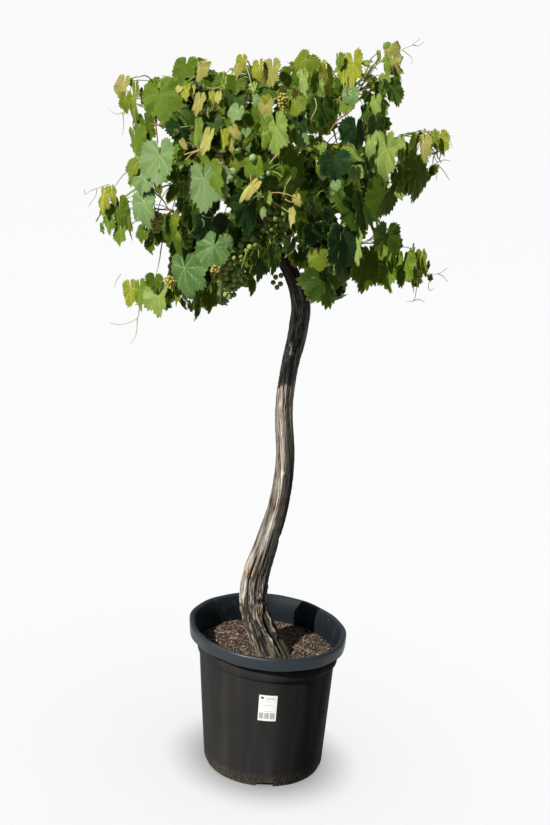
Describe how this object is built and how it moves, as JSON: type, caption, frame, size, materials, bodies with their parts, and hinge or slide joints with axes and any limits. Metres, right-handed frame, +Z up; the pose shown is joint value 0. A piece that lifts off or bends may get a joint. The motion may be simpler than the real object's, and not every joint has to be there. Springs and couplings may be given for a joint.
{
  "type": "potted grapevine standard",
  "caption": "Grapevine grown as a standard: bare twisted trunk with a bushy leafy crown and grapes, standing in a round black nursery pot of soil.",
  "frame": {"origin": "middle of the flat underside of the pot", "axes": "+Z up along the plant, -Y towards the front with the sticker, +X to the right"},
  "size_m": [0.8601, 0.6886, 1.9437],
  "materials": {
    "pot_plastic": "satin",
    "soil": "matte",
    "label": "matte",
    "bark": "matte",
    "cane": "matte",
    "foliage": "matte"
  },
  "bodies": {
    "root": {"bough_back": "cane", "bough_front": "cane", "bough_left": "cane", "bough_right": "cane", "bough_up": "cane", "bough_up_left": "cane", "label": "label", "mass_back_left": "foliage", "mass_back_low": "foliage", "mass_back_right": "foliage", "mass_back_top_left": "foliage", "mass_back_top_right": "foliage", "mass_bottom_centre": "foliage", "mass_bottom_left": "foliage", "mass_bottom_left_tip": "foliage", "mass_bottom_right": "foliage", "mass_bottom_right_shoulder": "foliage", "mass_bottom_right_tip": "foliage", "mass_centre": "foliage", "mass_centre_left": "foliage", "mass_centre_right": "foliage", "mass_left": "foliage", "mass_left_shoulder": "foliage", "mass_left_tip": "foliage", "mass_low_right": "foliage", "mass_lower_left": "foliage", "mass_right": "foliage", "mass_right_tip": "foliage", "mass_right_upper": "foliage", "mass_top_centre": "foliage", "mass_top_left": "foliage", "mass_top_left_tip": "foliage", "mass_top_right_centre": "foliage", "mass_top_right_tip": "foliage", "mass_upper_left": "foliage", "mass_upper_right": "foliage", "pot": "pot_plastic", "shoot_bottom_left": "cane", "shoot_bottom_right": "cane", "shoot_left": "cane", "shoot_right": "cane", "shoot_top_left": "cane", "shoot_top_right": "cane", "soil": "soil", "trunk": "bark"}
  },
  "joints": []
}
